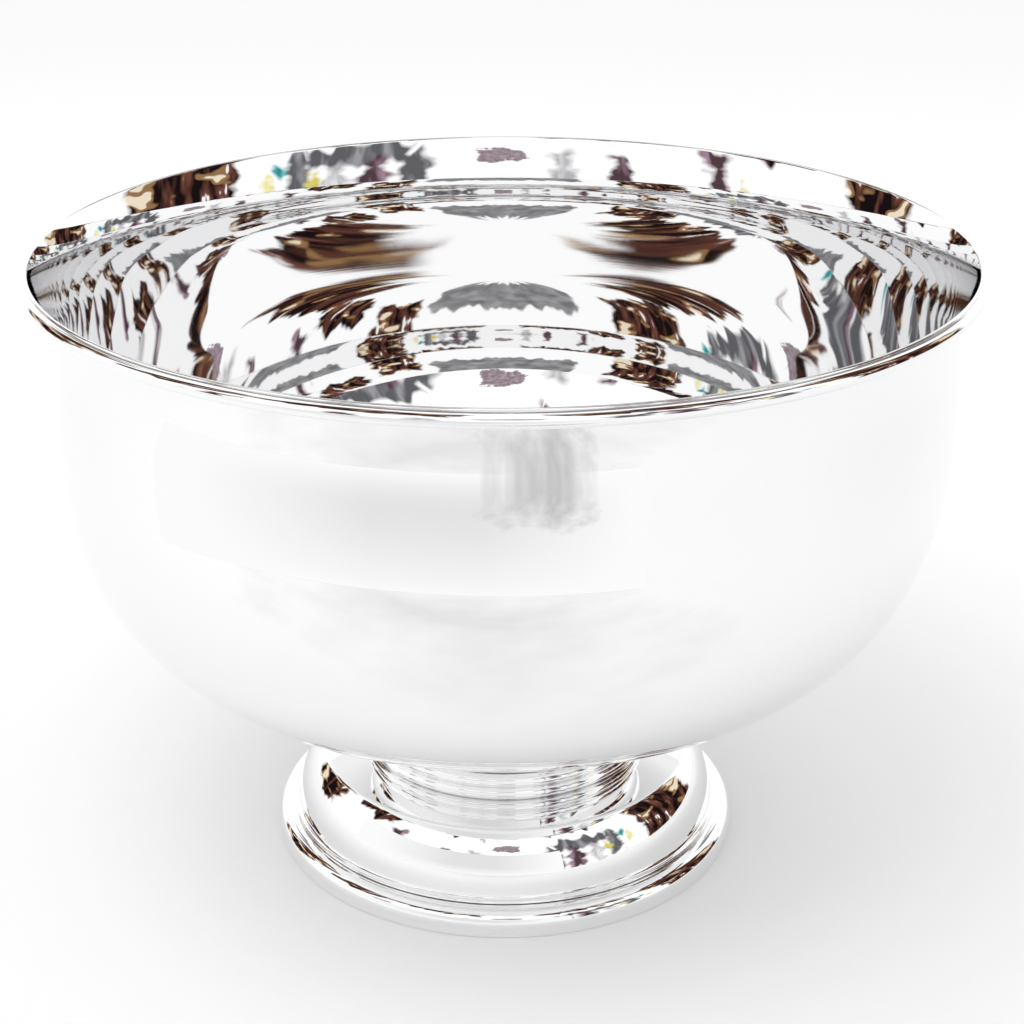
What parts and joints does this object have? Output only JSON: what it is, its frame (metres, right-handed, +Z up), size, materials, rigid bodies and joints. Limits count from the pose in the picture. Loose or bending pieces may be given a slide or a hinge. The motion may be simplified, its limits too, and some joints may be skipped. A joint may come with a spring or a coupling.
{
  "type": "punch bowl",
  "caption": "Round polished silver punch bowl with a flared, wired rim, on a beaded neck and a hollow domed foot held by a stud and nut.",
  "frame": {"origin": "centre of the foot's flat underside, on the table", "axes": "+Z up along the bowl's axis of turning; +X and +Y across it, with no preferred direction"},
  "size_m": [0.3774, 0.3774, 0.2583],
  "materials": {
    "silver_plate": "mirror-polished silver plate with very fine spinning and wiping marks",
    "fixing_brass": "turned, unpolished, slightly dull",
    "fixing_steel": "zinc-plated, satin"
  },
  "bodies": {
    "root": {"bowl_shell": "silver_plate", "rim_wire": "silver_plate", "bowl_collar": "silver_plate", "neck_lower_ring": "silver_plate", "neck_upper_ring": "silver_plate", "foot_shell": "silver_plate", "foot_base_ring": "silver_plate", "stud_boss": "fixing_brass", "backing_plate": "fixing_brass", "hex_nut": "fixing_brass", "threaded_stud": "fixing_steel", "flat_washer": "fixing_steel", "spring_washer": "fixing_steel"}
  },
  "joints": []
}
